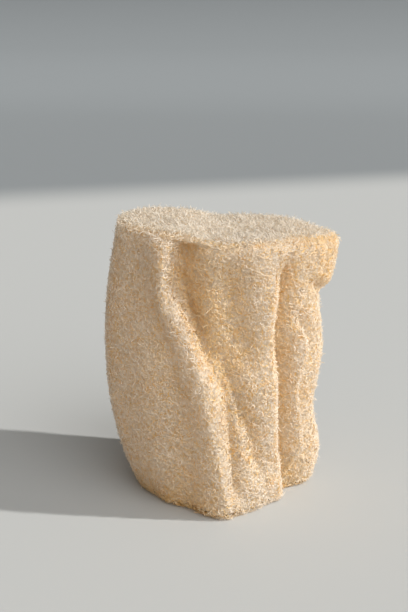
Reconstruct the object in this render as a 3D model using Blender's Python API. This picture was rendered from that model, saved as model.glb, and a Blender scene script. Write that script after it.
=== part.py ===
"""A natural loofah sponge, cut off square at both ends and standing on the lower cut.

Metres, +Z up, seen from -Y. The origin is the middle of the lower cut face. The sponge grew as one
piece, so it is one solid: a squashed, creased trunk whose whole surface is a raised net of strands
round sunk holes, with the mouths of the three seed channels in each cut end.
"""

import math
import random

import bmesh
import bpy
import numpy as np
from mathutils import Vector
from mathutils.geometry import delaunay_2d_cdt

MM = 0.001
SEED = 24

# The trunk before it creases: its radius every 45 degrees, from the right-hand side (+X) by way of
# the back (+Y) to the left and the front, at six heights.
HEIGHT = 130 * MM
LEVELS = np.array((0, 20, 38, 70, 102, 130)) * MM
RADII = MM * np.array((
    (45.4, 41.5, 39.0, 42.0, 40.4, 37.8, 43.0, 36.4),
    (48.6, 43.8, 40.3, 45.3, 48.0, 44.0, 45.8, 39.6),
    (45.2, 43.0, 41.2, 47.6, 52.4, 47.3, 47.4, 41.4),
    (49.5, 44.5, 42.0, 50.0, 55.3, 49.5, 48.4, 44.0),
    (47.2, 46.0, 41.0, 49.5, 53.6, 46.5, 45.0, 45.5),
    (51.2, 46.5, 39.0, 51.0, 48.4, 43.0, 43.5, 46.5),
))
RIBS, RIB_HEIGHT = 11, 0.5 * MM

# The rims of the two cuts are rounded over, the upper one most at the right of the front.
TOP_RIM, TOP_RIM_VARIES, TOP_RIM_WIDEST = 3.6 * MM, 0.85, math.radians(285)
BASE_RIM = 3.0 * MM

# The upper cut is a little uneven and slopes down to the right: heights from left to right.
CUT_ACROSS = np.array((-50, -32, -15, -5, 12, 34, 56)) * MM
CUT_HEIGHTS = np.array((131.4, 131.2, 129.8, 127.8, 127.5, 127.4, 124.2)) * MM

# The crown flares out over the right-hand side, above a step that climbs towards the front.
FLARE_OUT, FLARE_STEP = 5.0 * MM, 6.0 * MM
FLARE_MIDDLE, FLARE_HALF = math.radians(-6), math.radians(32)
FLARE_FOOT, FLARE_CLIMB = 98.0 * MM, 10.0 * MM

# Creases and ridges of the squashed wall. Each has its line as (height in mm, angle in degrees), from
# the top down, then its depth (a ridge's is negative), its reach to the left and right of the line,
# and the lengths over which it fades in below its top and above its foot, all in mm.
FOLDS = {
    "front_crease": (
        ((128, 240.5), (119, 237.6), (111.5, 237.6), (103, 241), (95.5, 246.3), (88.5, 251), (81.5, 255),
         (72.5, 261), (60, 268.5)),
        8.5, 2.6, 17, 3, 20),
    "crest_facet": (
        ((129, 238), (111, 238.5), (103, 241.5), (95.5, 246.5), (88.5, 251), (80, 256), (70, 262)),
        2.8, 4.5, 10, 6, 20),
    "crest_top": (
        ((129, 232.5), (111, 232.5), (103, 234), (96, 238), (88, 245)),
        -2.4, 3.4, 4.4, 3, 14),
    "front_ridge": (
        ((129, 232.5), (111, 232.5), (103, 234), (96, 238), (88, 245.5), (80, 251.5), (70, 257), (58, 261),
         (42, 265.5), (25, 269.5), (0, 274)),
        -3.1, 6.5, 5.5, 6, 1),
    "ridge_groove": (
        ((76, 266), (62, 270.5), (50, 273), (35, 275), (20, 277), (6, 279)),
        4.8, 2.2, 4, 14, 10),
    "lower_groove": (
        ((86, 265), (71, 272.5), (62, 277), (53, 281), (43.5, 286), (34, 290), (24, 294), (10, 297)),
        4.6, 3.6, 7, 20, 18),
    "left_hollow": (
        ((122, 227), (98, 229), (84, 236), (70, 241.5), (48, 250), (20, 252), (0, 250)),
        3.0, 13, 8, 16, 1),
    "panel_hollow": (
        ((126, 272), (105, 276), (90, 281), (75, 287), (60, 291)),
        4.6, 11, 11, 20, 22),
    "right_crease": (
        ((123, 314), (112, 312.5), (103, 312), (95, 311), (87.5, 310), (79.5, 311), (69, 313.5), (54.5, 315),
         (39, 318), (22.5, 323), (10, 329), (-12, 337)),
        9.0, 4.5, 3.8, 14, 18),
    "panel_ridge": (
        ((118, 302), (95, 299), (79, 297.5), (60, 301), (40, 305), (22, 311), (0, 319)),
        -2.2, 9, 3.5, 20, 1),
    "side_ridge": (
        ((93, 317), (84, 323), (76, 327), (66, 324), (57, 322), (47, 325), (36, 329), (26, 331), (14, 327)),
        -3.0, 7, 2.6, 12, 10),
    "side_crease": (
        ((98, 320), (90, 324), (81, 331), (75, 333.5), (66, 331.5), (58, 330), (49, 333), (40, 337),
         (30, 340), (22, 339), (12, 337), (0, 341)),
        6.0, 3.2, 7, 16, 1),
    "crown_groove": (
        ((128, 341), (114, 339), (99, 337)),
        3.0, 2.6, 2.8, 5, 8),
    "side_dent": (
        ((110, 356), (98, 357), (70, 2), (48, 4)),
        1.8, 6, 6, 10, 16),
    "back_crease": (
        ((122, 121), (104, 117), (88, 110), (66, 105), (44, 103), (22, 98), (0, 97)),
        8.5, 4, 10, 18, 1),
    "back_ridge": (
        ((112, 106), (88, 100), (66, 95), (40, 92), (10, 87)),
        -2.2, 7, 6, 20, 12),
    "back_fork": (
        ((70, 88), (54, 82), (38, 80), (20, 76), (0, 75)),
        5.0, 4, 6, 20, 1),
    "back_hollow": (
        ((118, 62), (96, 67), (74, 64), (52, 55), (30, 52), (8, 50)),
        4.4, 8, 5, 16, 16),
    "left_crease": (
        ((104, 166), (86, 160), (66, 157), (46, 160), (24, 166), (0, 168)),
        4.6, 6, 4, 22, 1),
    "corner_crease": (
        ((96, 33), (78, 27), (60, 25), (42, 29), (20, 26), (0, 24)),
        4.8, 3.6, 7, 18, 1),
}

# The crest beside the front crease leans over it: how far, and how wide a strip of the wall moves.
TUCK, TUCK_ASIDE, TUCK_REACH = 3.2 * MM, 3.0 * MM, 3.8 * MM

# The mouths of the three seed channels, squashed to crescents: where each lies round the middle, how
# far out as a share of the trunk's radius, how wide, and the angle from its middle to its tip.
CHANNEL_ANGLES = tuple(math.radians(a) for a in (78, 197, 318))
CHANNEL_OUT = 0.47
CHANNEL_HALF_WIDTH = 3.4 * MM
CHANNEL_SPREAD = math.radians(30)
CHANNEL_STEPS, CHANNEL_TAPER = 3, 0.84
TOP_CHANNEL_DEPTH, BASE_CHANNEL_DEPTH = 22 * MM, 15 * MM

# The net: its holes stand in rows round the wall, closer together beside the creases, and across the
# two cuts. Each is sunk between the strands by a share of its own width.
COLUMNS, ROWS = 54, 27
WANDER = 0.29
CUT_SPACING = 5.7 * MM
CROWDING, CROWD_REACH = 1.3, 6 * MM
HOLE_SINK = 0.55
FLAT_SPOT = 6 * MM

SPONGE_COLOUR = (0.80, 0.66, 0.45, 1.0)


def smooth_step(x):
    """0 below x = 0 and 1 above x = 1, with level ends."""
    x = np.clip(x, 0.0, 1.0)
    return x * x * (3 - 2 * x)


def hermite(x, xs, ys):
    """The smooth curve through the points (xs, ys), xs rising. ys may hold one row for each x."""
    slopes = np.gradient(ys, xs, axis=0)
    k = np.clip(np.searchsorted(xs, x, side="right") - 1, 0, len(xs) - 2)
    span = xs[k + 1] - xs[k]
    t = np.clip((x - xs[k]) / span, 0.0, 1.0)

    def at(rows, index):
        return rows[index] if rows.ndim == 1 else rows[index, np.arange(rows.shape[1])]

    return (
        (2 * t**3 - 3 * t**2 + 1) * at(ys, k)
        + (t**3 - 2 * t**2 + t) * span * at(slopes, k)
        + (3 * t**2 - 2 * t**3) * at(ys, k + 1)
        + (t**3 - t**2) * span * at(slopes, k + 1)
    )


def round_curve(theta, radii):
    """A closed Catmull-Rom curve through evenly spaced radii."""
    u = (theta / (2 * math.pi)) % 1.0 * len(radii)
    k = np.floor(u).astype(int)
    t = u - k
    a, b, c, d = (radii[(k + step) % len(radii)] for step in (-1, 0, 1, 2))
    return b + 0.5 * t * ((c - a) + t * ((2 * a - 5 * b + 4 * c - d) + t * (3 * (b - c) + d - a)))


def turn_between(theta, other):
    """theta - other, brought to between -pi and pi."""
    return (theta - other + math.pi) % (2 * math.pi) - math.pi


def trunk_radius(theta, z):
    """The trunk without its creases."""
    levels = np.stack([round_curve(theta, radii) for radii in RADII])
    radius = hermite(z, LEVELS, levels) + RIB_HEIGHT * np.cos(RIBS * theta)
    aside = turn_between(theta, FLARE_MIDDLE)
    window = smooth_step(1.6 - 1.6 * np.abs(aside) / FLARE_HALF)
    foot = FLARE_FOOT + FLARE_CLIMB * np.clip(-aside / FLARE_HALF, -0.2, 1.0)
    return radius + FLARE_OUT * window * smooth_step((z - foot) / FLARE_STEP)


def fold_line(fold, z):
    """A fold's angle at each height, and its strength there, from 0 to 1."""
    line, _, _, _, fade_top, fade_foot = fold
    heights = np.array([point[0] for point in reversed(line)]) * MM
    angles = np.unwrap(np.radians([point[1] for point in reversed(line)]))
    top, foot = heights[-1], heights[0]
    strength = smooth_step((top - z) / (fade_top * MM))
    if foot:
        strength = strength * smooth_step((z - foot) / (fade_foot * MM))
    return hermite(z, heights, angles), strength


def wall_radius(theta, z):
    """The trunk's radius with its creases and ridges."""
    trunk = trunk_radius(theta, z)
    radius = trunk.copy()
    for fold in FOLDS.values():
        _, depth, left, right, _, _ = fold
        angle, strength = fold_line(fold, z)
        aside = turn_between(theta, angle) * trunk
        reach = np.where(aside < 0, left, right) * MM
        radius -= depth * MM * strength * np.exp(-((np.abs(aside) / reach) ** 1.35))
    return radius


def top_rim(theta):
    """How far the rim of the upper cut is rounded over."""
    return TOP_RIM * (1 + TOP_RIM_VARIES * np.cos(theta - TOP_RIM_WIDEST))


def crown_height(x):
    """The height of the upper cut at this distance across."""
    return hermite(x, CUT_ACROSS, CUT_HEIGHTS)


def tucked(theta, z):
    """Angles moved along, so that the crest leans over the front crease."""
    angle, strength = fold_line(FOLDS["front_crease"], z)
    trunk = trunk_radius(theta, z)
    aside = turn_between(theta, angle) * trunk + TUCK_ASIDE
    return theta + TUCK * strength * np.exp(-((aside / TUCK_REACH) ** 2)) / trunk


def wall_points(theta, share):
    """Points on the wall: share runs from 0 at the lower cut to 1 at the upper one."""
    top = crown_height(np.cos(theta) * wall_radius(theta, np.full_like(theta, HEIGHT)))
    z = share * top
    rim = top_rim(theta)
    over = np.clip((z - top + rim) / rim, 0.0, 1.0)
    under = np.clip((BASE_RIM - z) / BASE_RIM, 0.0, 1.0)
    inset = rim * (1 - np.sqrt(1 - over**2)) + BASE_RIM * (1 - np.sqrt(1 - under**2))
    radius = wall_radius(theta, z) - inset
    turned = tucked(theta, z)
    return np.stack([radius * np.cos(turned), radius * np.sin(turned), z], axis=-1)


def crowded_angles(z, count):
    """Angles round the wall at one height, closer together beside the creases."""
    fine = np.linspace(0.0, 2 * math.pi, 1441)
    height = np.full_like(fine, z)
    trunk = trunk_radius(fine, height)
    density = trunk.copy()
    for fold in FOLDS.values():
        angle, strength = fold_line(fold, height)
        aside = turn_between(fine, angle) * trunk
        density += trunk * CROWDING * strength * (fold[1] / 8) * np.exp(-((aside / CROWD_REACH) ** 2))
    total = np.concatenate([[0.0], np.cumsum((density[1:] + density[:-1]) / 2)])
    shares = np.arange(count + 1) / count * total[-1]
    return np.interp(shares, total, fine)


def wall_spots(bm, rng):
    """Hole centres in staggered rows round the wall, joined by triangles. Returns the two rims."""
    rows = []
    for i in range(ROWS):
        inner_row = 0 < i < ROWS - 1
        share = i / (ROWS - 1)
        angles = crowded_angles(share * HEIGHT, COLUMNS)
        steps = np.diff(angles)
        wander = np.array([[rng.uniform(-WANDER, WANDER) for _ in range(2)] for _ in steps])
        theta = angles[:-1] + steps * (0.5 * (i % 2) + wander[:, 0])
        shares = share + wander[:, 1] * inner_row / (ROWS - 1)
        rows.append([bm.verts.new(point) for point in wall_points(theta, shares)])
    for i in range(ROWS - 1):
        low, high = rows[i], rows[i + 1]
        for j in range(COLUMNS):
            k = (j + 1) % COLUMNS
            if i % 2 == 0:
                bm.faces.new((low[j], low[k], high[j]))
                bm.faces.new((low[k], high[k], high[j]))
            else:
                bm.faces.new((low[j], high[k], high[j]))
                bm.faces.new((low[j], low[k], high[k]))
    return rows[-1], rows[0]


def inside(point, outline):
    """Whether a point is in a closed outline."""
    crossings = 0
    for (x0, y0), (x1, y1) in zip(outline, outline[1:] + outline[:1]):
        if (y0 > point[1]) != (y1 > point[1]):
            crossings += point[0] < x0 + (point[1] - y0) / (y1 - y0) * (x1 - x0)
    return crossings % 2 == 1


def cut_spots(bm, rim, height_at, rng):
    """Hole centres across a cut end, joined by triangles to each other and to the rim's."""
    flat = [(v.co.x, v.co.y) for v in rim]
    edges = [(i, (i + 1) % len(rim)) for i in range(len(rim))]
    outline = list(flat)
    reach = int(70 * MM / CUT_SPACING)
    for row in range(-reach, reach + 1):
        for column in range(-reach, reach + 1):
            x = (column + 0.5 * (row % 2) + rng.uniform(-WANDER, WANDER)) * CUT_SPACING
            y = (row * math.sqrt(0.75) + rng.uniform(-WANDER, WANDER)) * CUT_SPACING
            clearance = min(math.dist((x, y), corner) for corner in outline)
            if inside((x, y), outline) and clearance > 0.7 * CUT_SPACING:
                flat.append((x, y))
    points, _, faces, sources, _, _ = delaunay_2d_cdt([Vector(p) for p in flat], edges, [], 1, 1e-7)
    verts = [
        rim[source[0]] if source[0] < len(rim) else bm.verts.new((point[0], point[1], height_at(point[0])))
        for point, source in zip(points, sources)
    ]
    for corners in faces:
        bm.faces.new([verts[i] for i in corners])


def net_between(spots):
    """The net round a triangle mesh's corners: a strand crosses each edge, joined in each triangle."""
    net = bmesh.new()
    junctions = {face: net.verts.new(face.calc_center_median()) for face in spots.faces}
    for spot in spots.verts:
        first = loop = spot.link_loops[0]
        ring = []
        while True:
            ring.append(junctions[loop.face])
            loop = loop.link_loop_prev.link_loop_radial_next
            if loop == first:
                break
        net.faces.new(ring)
    return net


def in_channel(point, middle):
    """Whether a point of a cut end lies in the mouth of the channel whose middle has this angle."""
    theta = math.atan2(point.y, point.x)
    aside = float(turn_between(theta, middle)) / CHANNEL_SPREAD
    trunk = trunk_radius(np.array([theta]), np.array([HEIGHT / 2]))[0]
    across = (math.hypot(point.x, point.y) - CHANNEL_OUT * trunk) / CHANNEL_HALF_WIDTH
    return aside**2 + across**2 < 1


def sink_channel(net, floor, depth, rng):
    """Evens out a channel's mouth and pushes it into the sponge in steps, each one narrower."""
    rim = {edge for face in floor for edge in face.edges if len(set(edge.link_faces) & set(floor)) == 1}
    neighbours = {}
    for edge in rim:
        for vert in edge.verts:
            neighbours.setdefault(vert, []).append(edge.other_vert(vert))
    for _ in range(3):
        evened = {vert: (2 * vert.co + one.co + two.co) / 4 for vert, (one, two) in neighbours.items()}
        for vert, place in evened.items():
            vert.co = place
    for _ in range(CHANNEL_STEPS):
        grown = bmesh.ops.extrude_face_region(net, geom=floor)["geom"]
        bmesh.ops.delete(net, geom=floor, context="FACES")
        floor = [item for item in grown if isinstance(item, bmesh.types.BMFace)]
        verts = [item for item in grown if isinstance(item, bmesh.types.BMVert)]
        middle = sum((v.co for v in verts), Vector()) / len(verts)
        for v in verts:
            shift = (v.co - middle) * (CHANNEL_TAPER - 1 + rng.uniform(-0.02, 0.02))
            v.co += Vector((shift.x, shift.y, depth / CHANNEL_STEPS))


def centre_on_origin(bm):
    """Moves the sponge so that the middle of its outline stands over the origin."""
    low = Vector([min(v.co[axis] for v in bm.verts) for axis in range(3)])
    high = Vector([max(v.co[axis] for v in bm.verts) for axis in range(3)])
    shift = -(low + high) / 2
    shift.z = -low.z
    bmesh.ops.translate(bm, verts=bm.verts, vec=shift)


def sponge_material():
    material = bpy.data.materials.new("loofah_fibre")
    material.use_nodes = True
    shader = material.node_tree.nodes["Principled BSDF"]
    shader.inputs["Base Color"].default_value = SPONGE_COLOUR
    shader.inputs["Roughness"].default_value = 0.9
    shader.inputs["Metallic"].default_value = 0.0
    return material


def build_sponge():
    rng = random.Random(SEED)
    spots = bmesh.new()
    top_rim, base_rim = wall_spots(spots, rng)
    cut_spots(spots, top_rim, crown_height, rng)
    cut_spots(spots, base_rim, lambda _: 0.0, rng)
    bmesh.ops.recalc_face_normals(spots, faces=spots.faces)
    net = net_between(spots)
    spots.free()
    bmesh.ops.recalc_face_normals(net, faces=net.faces)
    outside = set(net.faces)
    for middle in CHANNEL_ANGLES:
        for side, depth in ((1, -TOP_CHANNEL_DEPTH), (-1, BASE_CHANNEL_DEPTH)):
            mouth = [
                face for face in net.faces
                if face.normal.z * side > 0.9 and in_channel(face.calc_center_median(), middle)
            ]
            outside -= set(mouth)
            sink_channel(net, mouth, depth, rng)
    for face in outside:
        if face.calc_center_median().length > FLAT_SPOT:
            sink = face.normal * HOLE_SINK * math.sqrt(face.calc_area())
            middle = bmesh.ops.poke(net, faces=[face], center_mode="MEAN_WEIGHTED")["verts"][0]
            middle.co -= sink
    centre_on_origin(net)
    bmesh.ops.triangulate(net, faces=[face for face in net.faces if len(face.verts) > 3])
    bmesh.ops.recalc_face_normals(net, faces=net.faces)
    mesh = bpy.data.meshes.new("loofah_sponge")
    net.to_mesh(mesh)
    net.free()
    mesh.materials.append(sponge_material())
    return bpy.data.objects.new("loofah_sponge", mesh)


def main():
    for old in list(bpy.data.objects):
        bpy.data.objects.remove(old, do_unlink=True)
    collection = bpy.data.collections.new("loofah")
    bpy.context.scene.collection.children.link(collection)
    collection.objects.link(build_sponge())


main()
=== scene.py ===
"""A natural loofah sponge, standing on its lower cut.

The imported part's solid is the filled form of the sponge. Here a finer skin of the same form replaces
it, set a little way in, and tens of thousands of curled strands are grown over the skin to make the
fibre net that the eye sees.
"""

import math

import bpy
import numpy as np
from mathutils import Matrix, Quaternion, Vector, noise
from mathutils.bvhtree import BVHTree


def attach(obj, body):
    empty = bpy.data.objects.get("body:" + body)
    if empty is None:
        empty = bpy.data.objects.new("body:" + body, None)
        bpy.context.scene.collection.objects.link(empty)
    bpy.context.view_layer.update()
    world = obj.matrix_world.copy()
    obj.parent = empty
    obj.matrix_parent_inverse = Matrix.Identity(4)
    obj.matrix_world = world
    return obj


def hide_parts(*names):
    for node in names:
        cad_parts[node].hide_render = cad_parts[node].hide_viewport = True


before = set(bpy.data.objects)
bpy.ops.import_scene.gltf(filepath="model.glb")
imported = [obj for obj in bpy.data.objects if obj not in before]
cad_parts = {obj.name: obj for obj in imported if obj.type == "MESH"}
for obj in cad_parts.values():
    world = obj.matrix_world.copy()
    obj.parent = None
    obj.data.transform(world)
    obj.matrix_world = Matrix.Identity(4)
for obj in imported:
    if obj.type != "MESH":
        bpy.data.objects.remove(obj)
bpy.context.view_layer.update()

MM = 0.001
SEED = 11

# How far the part was moved to bring the middle of its outline over the origin.
CENTRING = np.array((0.120, 3.412, 0.0)) * MM

# The trunk before it creases: its radius every 45 degrees, from the right-hand side (+X) by way of
# the back (+Y) to the left and the front, at six heights.
HEIGHT = 130 * MM
LEVELS = np.array((0, 20, 38, 70, 102, 130)) * MM
RADII = MM * np.array((
    (45.4, 41.5, 39.0, 42.0, 40.4, 37.8, 43.0, 36.4),
    (48.6, 43.8, 40.3, 45.3, 48.0, 44.0, 45.8, 39.6),
    (45.2, 43.0, 41.2, 47.6, 52.4, 47.3, 47.4, 41.4),
    (49.5, 44.5, 42.0, 50.0, 55.3, 49.5, 48.4, 44.0),
    (47.2, 46.0, 41.0, 49.5, 53.6, 46.5, 45.0, 45.5),
    (51.2, 46.5, 39.0, 51.0, 48.4, 43.0, 43.5, 46.5),
))
RIBS, RIB_HEIGHT = 11, 0.5 * MM

# How steeply a fold's sides fall away: 1 is a sharp line and 2 a round bump.
FOLD_POWER = 1.35

# The rims of the two cuts are rounded over, the upper one most at the right of the front.
TOP_RIM, TOP_RIM_VARIES, TOP_RIM_WIDEST = 3.6 * MM, 0.85, math.radians(285)
BASE_RIM = 3.0 * MM

# The upper cut is a little uneven and slopes down to the right: heights from left to right.
CUT_ACROSS = np.array((-50, -32, -15, -5, 12, 34, 56)) * MM
CUT_HEIGHTS = np.array((131.4, 131.2, 129.8, 127.8, 127.5, 127.4, 124.2)) * MM

# The crown flares out over the right-hand side, above a step that climbs towards the front.
FLARE_OUT, FLARE_STEP = 5.0 * MM, 6.0 * MM
FLARE_MIDDLE, FLARE_HALF = math.radians(-6), math.radians(32)
FLARE_FOOT, FLARE_CLIMB = 98.0 * MM, 10.0 * MM
FLARE_SIDES = 1.6

# Creases and ridges of the squashed wall. Each has its line as (height in mm, angle in degrees), from
# the top down, then its depth (a ridge's is negative), its reach to the left and right of the line,
# and the lengths over which it fades in below its top and above its foot, all in mm. One that runs
# down to the lower cut doesn't fade there.
FOLDS = {
    "front_crease": (
        ((128, 240.5), (119, 237.6), (111.5, 237.6), (103, 241), (95.5, 246.3), (88.5, 251), (81.5, 255),
         (72.5, 261), (60, 268.5)),
        8.5, 2.6, 17, 3, 20),
    "crest_facet": (
        ((129, 238), (111, 238.5), (103, 241.5), (95.5, 246.5), (88.5, 251), (80, 256), (70, 262)),
        2.8, 4.5, 10, 6, 20),
    "crest_top": (
        ((129, 232.5), (111, 232.5), (103, 234), (96, 238), (88, 245)),
        -2.4, 3.4, 4.4, 3, 14),
    "front_ridge": (
        ((129, 232.5), (111, 232.5), (103, 234), (96, 238), (88, 245.5), (80, 251.5), (70, 257), (58, 261),
         (42, 265.5), (25, 269.5), (0, 274)),
        -3.1, 6.5, 5.5, 6, 1),
    "ridge_groove": (
        ((76, 266), (62, 270.5), (50, 273), (35, 275), (20, 277), (6, 279)),
        4.8, 2.2, 4, 14, 10),
    "lower_groove": (
        ((86, 265), (71, 272.5), (62, 277), (53, 281), (43.5, 286), (34, 290), (24, 294), (10, 297)),
        4.6, 3.6, 7, 20, 18),
    "left_hollow": (
        ((122, 227), (98, 229), (84, 236), (70, 241.5), (48, 250), (20, 252), (0, 250)),
        3.0, 13, 8, 16, 1),
    "panel_hollow": (
        ((126, 272), (105, 276), (90, 281), (75, 287), (60, 291)),
        4.6, 11, 11, 20, 22),
    "right_crease": (
        ((123, 314), (112, 312.5), (103, 312), (95, 311), (87.5, 310), (79.5, 311), (69, 313.5),
         (54.5, 315), (39, 318), (22.5, 323), (10, 329), (-12, 337)),
        9.0, 4.5, 3.8, 14, 18),
    "panel_ridge": (
        ((118, 302), (95, 299), (79, 297.5), (60, 301), (40, 305), (22, 311), (0, 319)),
        -2.2, 9, 3.5, 20, 1),
    "side_ridge": (
        ((93, 317), (84, 323), (76, 327), (66, 324), (57, 322), (47, 325), (36, 329), (26, 331), (14, 327)),
        -3.0, 7, 2.6, 12, 10),
    "side_crease": (
        ((98, 320), (90, 324), (81, 331), (75, 333.5), (66, 331.5), (58, 330), (49, 333), (40, 337),
         (30, 340), (22, 339), (12, 337), (0, 341)),
        6.0, 3.2, 7, 16, 1),
    "crown_groove": (
        ((128, 341), (114, 339), (99, 337)),
        3.0, 2.6, 2.8, 5, 8),
    "side_dent": (
        ((110, 356), (98, 357), (70, 2), (48, 4)),
        1.8, 6, 6, 10, 16),
    "back_crease": (
        ((122, 121), (104, 117), (88, 110), (66, 105), (44, 103), (22, 98), (0, 97)),
        8.5, 4, 10, 18, 1),
    "back_ridge": (
        ((112, 106), (88, 100), (66, 95), (40, 92), (10, 87)),
        -2.2, 7, 6, 20, 12),
    "back_fork": (
        ((70, 88), (54, 82), (38, 80), (20, 76), (0, 75)),
        5.0, 4, 6, 20, 1),
    "back_hollow": (
        ((118, 62), (96, 67), (74, 64), (52, 55), (30, 52), (8, 50)),
        4.4, 8, 5, 16, 16),
    "left_crease": (
        ((104, 166), (86, 160), (66, 157), (46, 160), (24, 166), (0, 168)),
        4.6, 6, 4, 22, 1),
    "corner_crease": (
        ((96, 33), (78, 27), (60, 25), (42, 29), (20, 26), (0, 24)),
        4.8, 3.6, 7, 18, 1),
}

# The crest beside the front crease leans over it: how far, and how wide a strip of the wall moves.
TUCK, TUCK_ASIDE, TUCK_REACH = 3.2 * MM, 3.0 * MM, 3.8 * MM

# The mouths of the three seed channels, squashed to crescents: where each lies round the middle, how
# far out as a share of the trunk's radius, how wide, the angle from its middle to its tip, and where
# its sides start to sink and how soon they reach the bottom, as shares of its half width.
CHANNEL_ANGLES = tuple(math.radians(a) for a in (78, 197, 318))
CHANNEL_OUT = 0.47
CHANNEL_HALF_WIDTH = 2.6 * MM
CHANNEL_SPREAD = math.radians(30)
CHANNEL_EDGE, CHANNEL_SLOPE = 1.25, 0.5
TOP_CHANNEL_DEPTH, BASE_CHANNEL_DEPTH = 20 * MM, 14 * MM

# The skin that the strands grow over: points round it, up its wall and across each cut.
SKIN_COLUMNS, SKIN_ROWS, SKIN_RINGS = 260, 130, 26
SKIN_DEPTH = 1.6 * MM

# The pits in the skin between its buried strands: their size, their depth, and the distance from a
# strand, as a share of a pit's size, at which a pit is at its deepest.
SKIN_CELL, SKIN_PIT, SKIN_PIT_REACH = 2.4 * MM, 0.9 * MM, 0.55

# Layers of strands, all flat ribbons: how many, their steps and the length of one, width, height of
# the middle of the strand over the wall, how far it weaves in and out, how far it has climbed at its
# free end, tightest and loosest bend radius, how strongly it turns level, how many times more thickly
# it grows on the upper cut, and the share of its colour that is gold. The gold of the deeper layers is
# partly the fibres' own tan and partly painted shade and glow deep in the net.
LAYERS = {
    "fibres_deep": dict(
        count=2500, steps=12, step=0.80 * MM, width=0.42 * MM, height=-1.05 * MM,
        weave=0.30 * MM, rise=0.0, bend=(1.6 * MM, 5 * MM), level=0.0, crown=1.0, gold=1.0),
    "fibres_curled": dict(
        count=10000, steps=8, step=0.42 * MM, width=0.29 * MM, height=-0.70 * MM,
        weave=0.35 * MM, rise=0.0, bend=(0.5 * MM, 1.2 * MM), level=0.0, crown=1.2, gold=0.70),
    "fibres_long": dict(
        count=2000, steps=16, step=0.70 * MM, width=0.24 * MM, height=-0.35 * MM,
        weave=0.35 * MM, rise=0.0, bend=(3 * MM, 12 * MM), level=0.35, crown=1.0, gold=0.10),
    "fibres_looped": dict(
        count=11000, steps=8, step=0.36 * MM, width=0.25 * MM, height=-0.20 * MM,
        weave=0.40 * MM, rise=0.0, bend=(0.40 * MM, 0.9 * MM), level=0.0, crown=1.3, gold=0.10),
    "fibres_outer": dict(
        count=5000, steps=8, step=0.38 * MM, width=0.26 * MM, height=0.10 * MM,
        weave=0.40 * MM, rise=0.3 * MM, bend=(0.45 * MM, 1.1 * MM), level=0.0, crown=1.5, gold=0.0),
    "fibres_ends": dict(
        count=4500, steps=5, step=0.45 * MM, width=0.24 * MM, height=-0.30 * MM,
        weave=0.10 * MM, rise=1.1 * MM, bend=(0.9 * MM, 3 * MM), level=0.0, crown=1.0, gold=0.0),
    "fibres_crown": dict(
        count=5000, steps=5, step=0.52 * MM, width=0.26 * MM, height=-0.20 * MM,
        weave=0.10 * MM, rise=2.0 * MM, bend=(1.2 * MM, 4 * MM), level=0.0, crown=25, gold=0.0),
}

# How strands differ from one another: how much their heading strays at each step (in radians), the
# length of one weave in and out, their height over the wall, the share of the climb that each makes
# and the power by which it steepens, and their width as a share of their layer's.
HEADING_STRAYS = 0.16
WEAVE_LENGTH = (1.8 * MM, 3.6 * MM)
HEIGHT_VARIES = 0.18 * MM
RISE_SHARE, RISE_POWER = (0.3, 1.2), 1.3
WIDTH_SHARE = (0.75, 1.3)

# How narrow a strand is at its two tips, as a share of its width.
TIP_SHARE = 0.45

# Rings of the net, packed side by side: the least distance between their middles, and their size.
RING_TRIES, RING_APART, RING_STEPS = 110000, 1.40 * MM, 8
RING_RADIUS = (0.55 * MM, 0.95 * MM)
RING_WIDTH, RING_WEAVE = 0.29 * MM, 0.20 * MM
RING_SQUASH, RING_HEIGHT_VARIES = (0.65, 1.0), 0.15 * MM

STRAND_COLOUR = np.array((0.965, 0.87, 0.745))
# GOLD_COLOUR is the fibres' own tan, and also the hue of the painted glow and shade in the creases, at the
# foot and deep in the net.
GOLD_COLOUR = np.array((0.95, 0.69, 0.32))
STRAND_TRANSLUCENCY, CORE_TRANSLUCENCY = 0.38, 0.50

# The skin is gold in its pits, partly its own tan and partly painted shade in the gaps, and this
# much paler on the strands between them.
CORE_PALE = 0.3

# The strands are deeper gold down in the creases and along the foot of the left-hand side, which is
# painted glow and shade, standing in for light passing through the fibres in the creases and for light
# from the floor at the foot. They are deeper gold in the flared part of the crown too, and greyer and a
# little darker on the upper cut, which is painted shade and sky reflection. CREASE_FULL is how far under
# the trunk's surface the painted crease glow is full, and FLARE_ACROSS and FLARE_UP are where the
# flare's gold starts, to the right and up, and over what distance it fills.
PAINTED_CREASE_GLOW, CREASE_FULL = 0.65, 8.0 * MM
PAINTED_FOOT_GLOW, FOOT_REACH, FOOT_LEFT = 0.90, 8.0 * MM, 40 * MM
FLARE_GOLD = 0.25
FLARE_ACROSS, FLARE_UP = (28 * MM, 14 * MM), (FLARE_FOOT - 4 * MM, 8 * MM)
PAINTED_CROWN_SHADE = np.array((0.91, 0.93, 0.95))
CROWN_DEPTH = 0.6 * MM

# How far one strand's gold, and its brightness, differ from another's.
GOLD_VARIES, BRIGHTNESS = 0.12, (0.88, 1.04)

# The net of pale lines on the skin: the cell size and half width of its coarse and fine strands, how
# far the lines stray, and how high they seem to stand.
NET_COARSE, NET_FINE = (1.9 * MM, 0.22 * MM), (1.2 * MM, 0.15 * MM)
NET_STRAYS, NET_RELIEF = 1.1 * MM, 0.35 * MM

# How far a strand may be rolled about its own length.
RIBBON_ROLL = math.radians(55)

# Strands under the base are pressed flat this far above the floor.
FLOOR_CLEARANCE = 0.1 * MM

# The floor is pale as far as a soft, slanting edge, and beyond it a darker grey that is a painted shadow.
FLOOR_COLOUR = (0.477, 0.480, 0.467)
PAINTED_SHADOW_COLOUR = (0.231, 0.245, 0.251)
PAINTED_SHADOW_AWAY = (-0.41, 1.0, 0.0)
PAINTED_SHADOW_EDGE, PAINTED_SHADOW_BLUR = 1.19, 0.17

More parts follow.
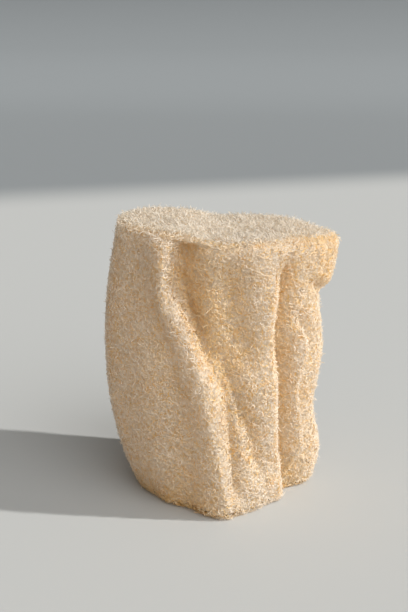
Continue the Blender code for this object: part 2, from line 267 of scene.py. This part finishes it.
# The floor's profile, as distance away and height, and its half width, in metres. It runs up into a
# wall behind the sponge.
STAGE_PROFILE = ((-3.0, 0.0), (3.6, 0.0), (4.0, 0.03), (4.3, 0.12), (4.5, 0.3), (4.6, 0.6), (4.6, 4.0))
STAGE_HALF_WIDTH = 5.0

# A low key light from the right and a wide, soft window light from the front right: strength, how
# wide it looks, azimuth from the right-hand side round towards the camera, elevation (in degrees), and
# colour. The sky fills the shadows.
LIGHTS = {
    "key": (3.1, 1.8, 10, 33, (1.0, 0.995, 0.98)),
    "window": (1.95, 60, 58, 38, (0.98, 0.99, 1.0)),
}
SKY_COLOUR, SKY_STRENGTH = (1.0, 0.98, 0.94), 0.24

# The camera that took the photograph: 408 by 612 pixels, held a little above the sponge.
CAMERA_AT = Vector((-7.78 * MM, -423.59 * MM, 199 * MM))
CAMERA_TILT = math.radians(75.6)
CAMERA_LENS, CAMERA_SENSOR = 54.35, 36.0


def smooth_step(x):
    """0 below x = 0 and 1 above x = 1, with level ends."""
    x = np.clip(x, 0.0, 1.0)
    return x * x * (3 - 2 * x)


def hermite(x, xs, ys):
    """The smooth curve through the points (xs, ys), xs rising. ys may hold one row for each x."""
    slopes = np.gradient(ys, xs, axis=0)
    k = np.clip(np.searchsorted(xs, x, side="right") - 1, 0, len(xs) - 2)
    span = xs[k + 1] - xs[k]
    t = np.clip((x - xs[k]) / span, 0.0, 1.0)

    def at(rows, index):
        return rows[index] if rows.ndim == 1 else rows[index, np.arange(rows.shape[1])]

    return (
        (2 * t**3 - 3 * t**2 + 1) * at(ys, k)
        + (t**3 - 2 * t**2 + t) * span * at(slopes, k)
        + (3 * t**2 - 2 * t**3) * at(ys, k + 1)
        + (t**3 - t**2) * span * at(slopes, k + 1)
    )


def round_curve(theta, radii):
    """A closed Catmull-Rom curve through evenly spaced radii."""
    u = (theta / (2 * math.pi)) % 1.0 * len(radii)
    k = np.floor(u).astype(int)
    t = u - k
    a, b, c, d = (radii[(k + step) % len(radii)] for step in (-1, 0, 1, 2))
    return b + 0.5 * t * ((c - a) + t * ((2 * a - 5 * b + 4 * c - d) + t * (3 * (b - c) + d - a)))


def turn_between(theta, other):
    """theta - other, brought to between -pi and pi."""
    return (theta - other + math.pi) % (2 * math.pi) - math.pi


def trunk_radius(theta, z):
    """The trunk without its creases."""
    levels = np.stack([round_curve(theta, radii) for radii in RADII])
    radius = hermite(z, LEVELS, levels) + RIB_HEIGHT * np.cos(RIBS * theta)
    aside = turn_between(theta, FLARE_MIDDLE)
    window = smooth_step(FLARE_SIDES * (1 - np.abs(aside) / FLARE_HALF))
    foot = FLARE_FOOT + FLARE_CLIMB * np.clip(-aside / FLARE_HALF, -0.2, 1.0)
    return radius + FLARE_OUT * window * smooth_step((z - foot) / FLARE_STEP)


def fold_line(fold, z):
    """A fold's angle at each height, and its strength there, from 0 to 1."""
    line, _, _, _, fade_top, fade_foot = fold
    heights = np.array([point[0] for point in reversed(line)]) * MM
    angles = np.unwrap(np.radians([point[1] for point in reversed(line)]))
    top, foot = heights[-1], heights[0]
    strength = smooth_step((top - z) / (fade_top * MM))
    if foot:
        strength = strength * smooth_step((z - foot) / (fade_foot * MM))
    return hermite(z, heights, angles), strength


def wall_radius(theta, z):
    """The trunk's radius with its creases and ridges."""
    trunk = trunk_radius(theta, z)
    radius = trunk.copy()
    for fold in FOLDS.values():
        _, depth, left, right, _, _ = fold
        angle, strength = fold_line(fold, z)
        aside = turn_between(theta, angle) * trunk
        reach = np.where(aside < 0, left, right) * MM
        radius -= depth * MM * strength * np.exp(-((np.abs(aside) / reach) ** FOLD_POWER))
    return radius


def top_rim(theta):
    """How far the rim of the upper cut is rounded over."""
    return TOP_RIM * (1 + TOP_RIM_VARIES * np.cos(theta - TOP_RIM_WIDEST))


def crown_height(x):
    """The height of the upper cut at this distance across."""
    return hermite(x, CUT_ACROSS, CUT_HEIGHTS)


def tucked(theta, z):
    """Angles moved along, so that the crest leans over the front crease."""
    angle, strength = fold_line(FOLDS["front_crease"], z)
    trunk = trunk_radius(theta, z)
    aside = turn_between(theta, angle) * trunk + TUCK_ASIDE
    return theta + TUCK * strength * np.exp(-((aside / TUCK_REACH) ** 2)) / trunk


def wall_points(theta, share):
    """Points on the wall: share runs from 0 at the lower cut to 1 at the upper one."""
    top = crown_height(np.cos(theta) * wall_radius(theta, np.full_like(theta, HEIGHT)))
    z = share * top
    rim = top_rim(theta)
    over = np.clip((z - top + rim) / rim, 0.0, 1.0)
    under = np.clip((BASE_RIM - z) / BASE_RIM, 0.0, 1.0)
    inset = rim * (1 - np.sqrt(1 - over**2)) + BASE_RIM * (1 - np.sqrt(1 - under**2))
    radius = wall_radius(theta, z) - inset
    turned = tucked(theta, z)
    return np.stack([radius * np.cos(turned), radius * np.sin(turned), z], axis=-1)


def channel_share(points):
    """1 inside the mouths of the seed channels, falling to 0 just outside them."""
    theta = np.arctan2(points[:, 1], points[:, 0])
    out = np.hypot(points[:, 0], points[:, 1])
    middle = CHANNEL_OUT * trunk_radius(theta, np.full_like(theta, HEIGHT / 2))
    share = np.zeros_like(theta)
    for angle in CHANNEL_ANGLES:
        aside = turn_between(theta, angle) / CHANNEL_SPREAD
        across = (out - middle) / CHANNEL_HALF_WIDTH
        off = np.sqrt(aside**2 + across**2)
        share = np.maximum(share, smooth_step((CHANNEL_EDGE - off) / CHANNEL_SLOPE))
    return share


def cut_points(rim, height_at, depth):
    """Rings of points across a cut end, from its rim to its middle, sunk at the channel mouths."""
    rings = []
    for k in range(1, SKIN_RINGS):
        ring = rim * (1 - k / SKIN_RINGS)
        ring[:, 2] = height_at(ring[:, 0]) + depth * channel_share(ring)
        rings.append(ring)
    return rings


def skin_arrays(mouths):
    """The sponge's smooth form as (points, triangles): a tube of rings, with a fan at each end.

    The mouths of the seed channels are sunk by this share of their depth.
    """
    theta = np.linspace(0, 2 * math.pi, SKIN_COLUMNS, endpoint=False)
    shares = np.linspace(0, 1, SKIN_ROWS)
    wall = [wall_points(theta, np.full_like(theta, share)) for share in shares]
    top = cut_points(wall[-1], crown_height, -TOP_CHANNEL_DEPTH * mouths)
    base = cut_points(wall[0], lambda x: np.zeros_like(x), BASE_CHANNEL_DEPTH * mouths)
    rings = base[::-1] + wall + top
    middles = [ring.mean(axis=0, keepdims=True) for ring in (rings[0], rings[-1])]
    points = np.concatenate(rings + middles) + CENTRING
    row = np.arange(SKIN_COLUMNS)
    following = (row + 1) % SKIN_COLUMNS
    triangles = []
    for low in range(0, SKIN_COLUMNS * (len(rings) - 1), SKIN_COLUMNS):
        high = low + SKIN_COLUMNS
        triangles.append(np.stack([low + row, low + following, high + following], 1))
        triangles.append(np.stack([low + row, high + following, high + row], 1))
    last = SKIN_COLUMNS * (len(rings) - 1)
    triangles.append(np.stack([following, row, np.full_like(row, len(points) - 2)], 1))
    triangles.append(np.stack([last + row, last + following, np.full_like(row, len(points) - 1)], 1))
    return points, np.concatenate(triangles)


def new_mesh(name, points, triangles, colours):
    """A smooth-shaded mesh with a colour for each point."""
    mesh = bpy.data.meshes.new(name)
    mesh.vertices.add(len(points))
    mesh.vertices.foreach_set("co", points.astype(np.float32).ravel())
    mesh.loops.add(triangles.size)
    mesh.loops.foreach_set("vertex_index", triangles.astype(np.int32).ravel())
    mesh.polygons.add(len(triangles))
    mesh.polygons.foreach_set("loop_start", np.arange(0, triangles.size, 3, dtype=np.int32))
    mesh.polygons.foreach_set("use_smooth", np.ones(len(triangles), dtype=bool))
    mesh.update(calc_edges=True)
    tint = mesh.color_attributes.new("tint", "FLOAT_COLOR", "POINT")
    opaque = np.column_stack([colours, np.ones(len(colours))])
    tint.data.foreach_set("color", opaque.astype(np.float32).ravel())
    return mesh


def point_normals(points, triangles):
    """The outward normal at each point of the skin."""
    a, b, c = (points[triangles[:, k]] for k in range(3))
    across = np.cross(b - a, c - a)
    normals = np.zeros_like(points)
    for k in range(3):
        np.add.at(normals, triangles[:, k], across)
    return normals / np.maximum(np.linalg.norm(normals, axis=1, keepdims=True), 1e-12)


def pitted(points, normals):
    """How deep each point of the skin is sunk: the gaps between its buried strands."""
    depths = np.empty(len(points))
    for i, point in enumerate(points):
        distances, _ = noise.voronoi(Vector(point / SKIN_CELL))
        depths[i] = distances[1] - distances[0]
    return points - normals * (SKIN_DEPTH + SKIN_PIT * smooth_step(depths[:, None] / SKIN_PIT_REACH)), depths


def strand_paths(tree, starts, rng, steps, step, height, weave, rise, bend, level):
    """Lines that wander over the wall from their starts: their points and outward normals."""
    count = len(starts)
    at = np.empty((steps + 1, count, 3))
    out = np.empty((steps + 1, count, 3))
    for i, start in enumerate(starts):
        near, normal, _, _ = tree.find_nearest(Vector(start))
        at[0, i], out[0, i] = near, normal
    heading = rng.normal(size=(count, 3))
    radius = rng.uniform(*bend, count)
    turning = step / radius * rng.choice((-1, 1), count)
    for k in range(1, steps + 1):
        normal = out[k - 1]
        heading -= normal * np.sum(heading * normal, axis=1, keepdims=True)
        if level:
            flat = np.cross(np.tile((0.0, 0.0, 1.0), (count, 1)), normal)
            flat *= np.sign(np.sum(flat * heading, axis=1, keepdims=True))
            heading += level * flat * np.linalg.norm(heading, axis=1, keepdims=True)
        heading /= np.maximum(np.linalg.norm(heading, axis=1, keepdims=True), 1e-9)
        turn = (turning + rng.normal(0, HEADING_STRAYS, count))[:, None]
        heading = heading * np.cos(turn) + np.cross(normal, heading) * np.sin(turn)
        for i, point in enumerate(at[k - 1] + heading * step):
            near, normal_here, _, _ = tree.find_nearest(Vector(point))
            at[k, i], out[k, i] = near, normal_here
    run = np.arange(steps + 1)[:, None] * step
    wave = rng.uniform(*WEAVE_LENGTH, count)
    lift = height + rng.normal(0, HEIGHT_VARIES, count)
    lift = lift + weave * np.sin(2 * math.pi * run / wave + rng.uniform(0, 2 * math.pi, count))
    lift = lift + rise * rng.uniform(*RISE_SHARE, count) * (run / run[-1]) ** RISE_POWER
    return (at + out * lift[..., None]).transpose(1, 0, 2), out.transpose(1, 0, 2)


def spaced_starts(points, triangles, rng):
    """Places for rings all over the skin, none closer to another than RING_APART."""
    taken = {}
    places = []
    around = [(i, j, k) for i in (-1, 0, 1) for j in (-1, 0, 1) for k in (-1, 0, 1)]
    for place in spread_starts(points, triangles, RING_TRIES, 1.0, rng).tolist():
        i, j, k = (math.floor(value / RING_APART) for value in place)
        near = (other for a, b, c in around for other in taken.get((i + a, j + b, k + c), ()))
        if all(math.dist(place, other) >= RING_APART for other in near):
            taken.setdefault((i, j, k), []).append(place)
            places.append(place)
    return np.array(places)


def ring_paths(tree, places, rng):
    """Rings that lie on the wall round their places: their points and outward normals."""
    turns = np.linspace(0, 2 * math.pi, RING_STEPS + 1)
    at = np.empty((len(places), len(turns), 3))
    out = np.empty_like(at)
    for i, place in enumerate(places):
        middle, normal, _, _ = tree.find_nearest(Vector(place))
        side = Quaternion(normal, rng.uniform(0, math.pi)) @ normal.orthogonal().normalized()
        side *= rng.uniform(*RING_RADIUS)
        up = normal.cross(side) * rng.uniform(*RING_SQUASH)
        for k, turn in enumerate(turns):
            point = middle + side * math.cos(turn) + up * math.sin(turn)
            at[i, k], out[i, k], _, _ = tree.find_nearest(point)
    lift = rng.normal(0, RING_HEIGHT_VARIES, (len(places), 1))
    lift = lift + RING_WEAVE * np.sin(2 * turns + rng.uniform(0, 2 * math.pi, (len(places), 1)))
    return at + out * lift[..., None], out


def strand_faces(paths, normals, widths, rng):
    """Ribbons along paths, each rolled a little about its own length: points and triangles."""
    count, length, _ = paths.shape
    along = np.gradient(paths, axis=1)
    along /= np.maximum(np.linalg.norm(along, axis=2, keepdims=True), 1e-12)
    side = np.cross(along, normals)
    side /= np.maximum(np.linalg.norm(side, axis=2, keepdims=True), 1e-12)
    up = np.cross(side, along)
    taper = np.ones(length)
    taper[[0, -1]] = TIP_SHARE
    radius = (widths[:, None] / 2 * taper)[..., None]
    roll = rng.uniform(-RIBBON_ROLL, RIBBON_ROLL, (count, 1, 1))
    edges = []
    for turn in (roll, roll + math.pi):
        edges.append(paths + radius * (side * np.cos(turn) + up * np.sin(turn)))
    points = np.stack(edges, axis=2).reshape(-1, 3)
    first = (np.arange(count)[:, None] * length + np.arange(length - 1)).ravel() * 2
    halves = [
        np.stack([first, first + 1, first + 3], -1),
        np.stack([first, first + 3, first + 2], -1),
    ]
    return points, np.concatenate(halves)


def spread_starts(points, triangles, count, crown, rng):
    """Places spread over the skin by area, closer together on the upper cut, where it faces up."""
    a, b, c = (points[triangles[:, k]] for k in range(3))
    across = np.cross(b - a, c - a)
    area = np.linalg.norm(across, axis=1)
    on_crown = across[:, 2] > 0.5 * area
    area[on_crown] *= crown
    chosen = rng.choice(len(triangles), count, p=area / area.sum())
    u, v = rng.uniform(size=(2, count, 1))
    u, v = np.where(u + v > 1, 1 - u, u), np.where(u + v > 1, 1 - v, v)
    return a[chosen] + u * (b[chosen] - a[chosen]) + v * (c[chosen] - a[chosen])


def add_translucency(material, shader, colour, share):
    """Lets this share of the light through, in the same colour."""
    nodes, links = material.node_tree.nodes, material.node_tree.links
    through = nodes.new("ShaderNodeBsdfTranslucent")
    links.new(colour, through.inputs["Color"])
    mix = nodes.new("ShaderNodeMixShader")
    mix.inputs[0].default_value = share
    links.new(shader.outputs["BSDF"], mix.inputs[1])
    links.new(through.outputs["BSDF"], mix.inputs[2])
    links.new(mix.outputs["Shader"], nodes["Material Output"].inputs["Surface"])


def fibre_material():
    """Dry plant fibre: matt, a little translucent, and coloured strand by strand."""
    material = bpy.data.materials.new("loofah_fibre")
    material.use_nodes = True
    nodes, links = material.node_tree.nodes, material.node_tree.links
    shader = nodes["Principled BSDF"]
    shader.inputs["Roughness"].default_value = 0.55
    shader.inputs["IOR"].default_value = 1.45
    tint = nodes.new("ShaderNodeAttribute")
    tint.attribute_name = "tint"
    links.new(tint.outputs["Color"], shader.inputs["Base Color"])
    add_translucency(material, shader, tint.outputs["Color"], STRAND_TRANSLUCENCY)
    return material


def net_lines(nodes, links, place, cell, half_width):
    """A node giving 1 along a net of lines of that cell size, and 0 in its holes."""
    net = nodes.new("ShaderNodeTexVoronoi")
    net.feature = "DISTANCE_TO_EDGE"
    net.inputs["Scale"].default_value = 1 / cell
    links.new(place, net.inputs["Vector"])
    line = nodes.new("ShaderNodeMapRange")
    line.interpolation_type = "SMOOTHSTEP"
    line.inputs["From Min"].default_value = half_width / cell * 1.6
    line.inputs["From Max"].default_value = half_width / cell * 0.5
    links.new(net.outputs["Distance"], line.inputs["Value"])
    return line.outputs["Result"]


def core_material():
    """The buried part of the net: two sizes of pale strands over the gold of the gaps, partly painted shade.
    """
    material = bpy.data.materials.new("loofah_core")
    material.use_nodes = True
    nodes, links = material.node_tree.nodes, material.node_tree.links
    shader = nodes["Principled BSDF"]
    shader.inputs["Roughness"].default_value = 0.75
    place = nodes.new("ShaderNodeTexCoord")
    wobble = nodes.new("ShaderNodeTexNoise")
    wobble.inputs["Scale"].default_value = 1 / NET_STRAYS
    links.new(place.outputs["Object"], wobble.inputs["Vector"])
    shift = nodes.new("ShaderNodeVectorMath")
    shift.operation = "MULTIPLY_ADD"
    shift.inputs[1].default_value = (NET_STRAYS,) * 3
    links.new(wobble.outputs["Color"], shift.inputs[0])
    links.new(place.outputs["Object"], shift.inputs[2])
    coarse = net_lines(nodes, links, shift.outputs["Vector"], *NET_COARSE)
    fine = net_lines(nodes, links, shift.outputs["Vector"], *NET_FINE)
    both = nodes.new("ShaderNodeMath")
    both.operation = "MAXIMUM"
    links.new(coarse, both.inputs[0])
    links.new(fine, both.inputs[1])
    tint = nodes.new("ShaderNodeAttribute")
    tint.attribute_name = "tint"
    colour = nodes.new("ShaderNodeMix")
    colour.data_type = "RGBA"
    colour.inputs["B"].default_value = (*STRAND_COLOUR, 1)
    links.new(both.outputs["Value"], colour.inputs["Factor"])
    links.new(tint.outputs["Color"], colour.inputs["A"])
    links.new(colour.outputs["Result"], shader.inputs["Base Color"])
    bump = nodes.new("ShaderNodeBump")
    bump.inputs["Strength"].default_value = 0.9
    bump.inputs["Distance"].default_value = NET_RELIEF
    links.new(both.outputs["Value"], bump.inputs["Height"])
    links.new(bump.outputs["Normal"], shader.inputs["Normal"])
    add_translucency(material, shader, colour.outputs["Result"], CORE_TRANSLUCENCY)
    return material


def strand_tints(starts, gold, rng):
    """A colour for each strand, by where it starts, with painted glow, shade and sky reflection."""
    x, y, z = (starts - CENTRING).T
    theta, out = np.arctan2(y, x), np.hypot(x, y)
    sunk = np.clip((trunk_radius(theta, z) - out) / CREASE_FULL, 0, 1)
    on_crown = z > crown_height(x) - CROWN_DEPTH
    # Painted glow and shade: deeper gold the further down in a crease the strand starts.
    share = gold + PAINTED_CREASE_GLOW * sunk * ~on_crown
    # Painted glow of light from the floor: deeper gold along the foot of the left-hand side.
    share = share + PAINTED_FOOT_GLOW * np.exp(-z / FOOT_REACH) * smooth_step(0.5 - x / FOOT_LEFT)
    across = smooth_step((x - FLARE_ACROSS[0]) / FLARE_ACROSS[1])
    up = smooth_step((z - FLARE_UP[0]) / FLARE_UP[1])
    share = share + FLARE_GOLD * across * up * ~on_crown
    share = np.clip(share + rng.normal(0, GOLD_VARIES, len(starts)), 0, 1)[:, None]
    tint = STRAND_COLOUR * (1 - share) + GOLD_COLOUR * share
    # Painted shade and sky reflection: the strands on the upper cut are greyer and a little darker.
    tint = np.where(on_crown[:, None], tint * PAINTED_CROWN_SHADE, tint)
    return tint * rng.uniform(*BRIGHTNESS, (len(starts), 1))


def add_piece(mesh, material):
    """Makes the mesh a piece of the sponge, on the sponge's body."""
    piece = bpy.data.objects.new(mesh.name, mesh)
    bpy.context.scene.collection.objects.link(piece)
    mesh.materials.append(material)
    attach(piece, "root")
    return piece


def add_strands(name, paths, out, width, tints, material, rng):
    """One layer of strands, each near this width and in its own tint."""
    widths = width * rng.uniform(*WIDTH_SHARE, len(paths))
    corners, faces = strand_faces(paths, out, widths, rng)
    corners[:, 2] = np.maximum(corners[:, 2], FLOOR_CLEARANCE)
    tints = np.repeat(tints, len(corners) // len(paths), axis=0)
    add_piece(new_mesh(name, corners, faces, tints), material)


def make_sponge():
    """The skin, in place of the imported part's solid, and then every layer of strands and rings."""
    rng = np.random.default_rng(SEED)
    points, triangles = skin_arrays(mouths=0.0)
    tree = BVHTree.FromPolygons(points.tolist(), triangles.tolist())
    material = fibre_material()

    hollow, _ = skin_arrays(mouths=1.0)
    sunk, gaps = pitted(hollow, point_normals(hollow, triangles))
    share = smooth_step(gaps / SKIN_PIT_REACH)[:, None]
    # Gold in the pits: partly the fibres' own tan, partly painted shade in the gaps.
    colours = STRAND_COLOUR * (1 - share) * CORE_PALE + GOLD_COLOUR * (1 - (1 - share) * CORE_PALE)
    core = add_piece(new_mesh("loofah_core", sunk, triangles, colours), core_material())
    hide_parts("loofah_sponge")

    for name, layer in LAYERS.items():
        starts = spread_starts(points, triangles, layer["count"], layer["crown"], rng)
        paths, out = strand_paths(
            tree, starts, rng, layer["steps"], layer["step"], layer["height"], layer["weave"],
            layer["rise"], layer["bend"], layer["level"])
        tint = strand_tints(starts, layer["gold"], rng)
        add_strands(name, paths, out, layer["width"], tint, material, rng)

    every = spaced_starts(points, triangles, rng)
    for name, places in (("fibres_rings", every[::2]), ("fibres_loops", every[1::2])):
        paths, out = ring_paths(tree, places, rng)
        tint = strand_tints(places, 0.0, rng)
        add_strands(name, paths, out, RING_WIDTH, tint, material, rng)


def make_stage():
    """A pale floor that turns a darker grey in the distance, a painted shadow, and runs up into a wall."""
    verts = [(x, y, z) for y, z in STAGE_PROFILE for x in (-STAGE_HALF_WIDTH, STAGE_HALF_WIDTH)]
    faces = [(2 * k, 2 * k + 1, 2 * k + 3, 2 * k + 2) for k in range(len(STAGE_PROFILE) - 1)]
    mesh = bpy.data.meshes.new("floor")
    mesh.from_pydata(verts, [], faces)
    mesh.polygons.foreach_set("use_smooth", [True] * len(faces))
    floor = bpy.data.objects.new("floor", mesh)
    bpy.context.scene.collection.objects.link(floor)
    material = bpy.data.materials.new("floor")
    material.use_nodes = True
    nodes, links = material.node_tree.nodes, material.node_tree.links
    shader = nodes["Principled BSDF"]
    shader.inputs["Roughness"].default_value = 0.9
    place = nodes.new("ShaderNodeNewGeometry")
    away = nodes.new("ShaderNodeVectorMath")
    away.operation = "DOT_PRODUCT"
    away.inputs[1].default_value = PAINTED_SHADOW_AWAY
    links.new(place.outputs["Position"], away.inputs[0])
    # Painted shadow: past the slanting edge the floor and wall turn to the darker grey.
    shade = nodes.new("ShaderNodeMapRange")
    shade.interpolation_type = "SMOOTHSTEP"
    shade.inputs["From Min"].default_value = PAINTED_SHADOW_EDGE - PAINTED_SHADOW_BLUR
    shade.inputs["From Max"].default_value = PAINTED_SHADOW_EDGE + PAINTED_SHADOW_BLUR
    links.new(away.outputs["Value"], shade.inputs["Value"])
    colour = nodes.new("ShaderNodeMix")
    colour.data_type = "RGBA"
    colour.inputs["A"].default_value = (*FLOOR_COLOUR, 1)
    colour.inputs["B"].default_value = (*PAINTED_SHADOW_COLOUR, 1)
    links.new(shade.outputs["Result"], colour.inputs["Factor"])
    links.new(colour.outputs["Result"], shader.inputs["Base Color"])
    mesh.materials.append(material)


def add_sun(name, strength, softness, azimuth, elevation, colour):
    """A light from far off, in the direction that LIGHTS gives."""
    light = bpy.data.lights.new(name, "SUN")
    light.energy = strength
    light.angle = math.radians(softness)
    light.color = colour
    turn, climb = math.radians(azimuth), math.radians(elevation)
    level = math.cos(climb)
    source = Vector((math.cos(turn) * level, -math.sin(turn) * level, math.sin(climb)))
    holder = bpy.data.objects.new(name, light)
    holder.rotation_euler = source.to_track_quat("Z", "Y").to_euler()
    bpy.context.scene.collection.objects.link(holder)


def make_light():
    """The lights and the sky."""
    for name, (strength, softness, azimuth, elevation, colour) in LIGHTS.items():
        add_sun(name, strength, softness, azimuth, elevation, colour)
    world = bpy.data.worlds.new("studio")
    bpy.context.scene.world = world
    world.use_nodes = True
    sky = world.node_tree.nodes["Background"]
    sky.inputs["Color"].default_value = (*SKY_COLOUR, 1)
    sky.inputs["Strength"].default_value = SKY_STRENGTH
    bpy.context.scene.view_settings.view_transform = "Standard"


def make_camera():
    """The camera, from where the photograph was taken."""
    camera = bpy.data.cameras.new("camera")
    camera.lens = CAMERA_LENS
    camera.sensor_width = CAMERA_SENSOR
    holder = bpy.data.objects.new("camera", camera)
    holder.location = CAMERA_AT
    holder.rotation_euler = (CAMERA_TILT, 0, 0)
    bpy.context.scene.collection.objects.link(holder)
    bpy.context.scene.camera = holder


make_sponge()
make_stage()
make_light()
make_camera()
